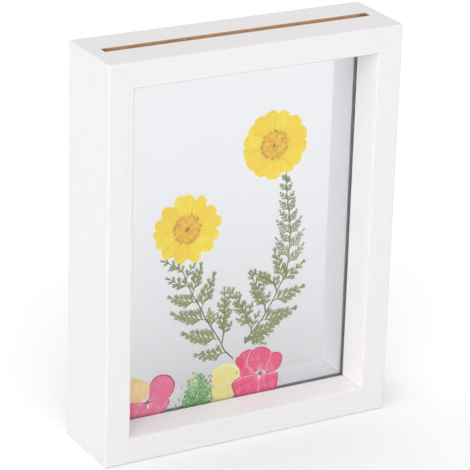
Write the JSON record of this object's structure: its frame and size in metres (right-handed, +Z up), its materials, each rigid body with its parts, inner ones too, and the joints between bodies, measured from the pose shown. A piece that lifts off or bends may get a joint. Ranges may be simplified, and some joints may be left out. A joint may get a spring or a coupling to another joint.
{
  "type": "pressed flower frame",
  "caption": "White upright box frame open front and back, with pressed daisies, fern fronds and petals held between two panes of glass.",
  "frame": {"origin": "middle of the footprint, on the underside that the frame stands on", "axes": "+X to the right seen from the front, +Y from the front to the back, +Z up"},
  "size_m": [0.171, 0.0464, 0.2215],
  "materials": {
    "white_paint": "smooth satin white paint over wood fibre, with faint brushed grain and mitre lines",
    "glass": "clear polished float glass with seamed edges",
    "yellow_ray": "dry pressed ray petals, matt, finely veined along their length",
    "daisy_disc": "dry pressed disc florets, matt and grainy, with an olive fringe",
    "pink_petal": "dry pressed petals, matt, with branching veins and darker margins",
    "flower_eye": "dry pressed flower centre with pale markings",
    "cream_petal": "dry pressed petal, matt, cream with a pink edge",
    "pale_yellow_petal": "dry pressed petals, matt, thin and lemon yellow",
    "fern_green": "dry pressed fern, matt grey green with paler ribs",
    "lace_green": "dyed dry florets, matt green with darker specks",
    "stamen_brown": "dry brown filaments, matt"
  },
  "bodies": {
    "root": {"bottom_rail": "white_paint", "top_rail": "white_paint", "left_stile": "white_paint", "right_stile": "white_paint", "front_glass": "glass", "back_glass": "glass", "upper_daisy_petal_01": "yellow_ray", "upper_daisy_petal_02": "yellow_ray", "upper_daisy_petal_03": "yellow_ray", "upper_daisy_petal_04": "yellow_ray", "upper_daisy_petal_05": "yellow_ray", "upper_daisy_petal_06": "yellow_ray", "upper_daisy_petal_07": "yellow_ray", "upper_daisy_petal_08": "yellow_ray", "upper_daisy_petal_09": "yellow_ray", "upper_daisy_petal_10": "yellow_ray", "upper_daisy_petal_11": "yellow_ray", "upper_daisy_petal_12": "yellow_ray", "upper_daisy_petal_13": "yellow_ray", "upper_daisy_petal_14": "yellow_ray", "upper_daisy_disc": "daisy_disc", "lower_daisy_petal_01": "yellow_ray", "lower_daisy_petal_02": "yellow_ray", "lower_daisy_petal_03": "yellow_ray", "lower_daisy_petal_04": "yellow_ray", "lower_daisy_petal_05": "yellow_ray", "lower_daisy_petal_06": "yellow_ray", "lower_daisy_petal_07": "yellow_ray", "lower_daisy_petal_08": "yellow_ray", "lower_daisy_petal_09": "yellow_ray", "lower_daisy_petal_10": "yellow_ray", "lower_daisy_petal_11": "yellow_ray", "lower_daisy_petal_12": "yellow_ray", "lower_daisy_petal_13": "yellow_ray", "lower_daisy_petal_14": "yellow_ray", "lower_daisy_disc": "daisy_disc", "right_pink_top_petal": "pink_petal", "right_pink_right_petal": "pink_petal", "right_pink_back_petal": "pink_petal", "right_pink_folded_petal": "pink_petal", "right_pink_lower_petal": "pink_petal", "left_pink_upper_petal": "pink_petal", "left_pink_right_petal": "pink_petal", "left_pink_left_petal": "pink_petal", "cream_petal": "cream_petal", "pale_yellow_petal": "pale_yellow_petal", "yellow_upper_petal": "pale_yellow_petal", "yellow_lower_petal": "pale_yellow_petal", "right_pink_eye": "flower_eye", "left_pink_eye": "flower_eye", "green_lace_flower": "lace_green", "yellow_flower_stamens": "stamen_brown", "left_fern_frond": "fern_green", "left_fern_side_branch": "fern_green", "right_fern_frond": "fern_green", "right_fern_lower_branch": "fern_green", "right_fern_middle_branch": "fern_green", "right_fern_upper_branch": "fern_green"}
  },
  "joints": []
}
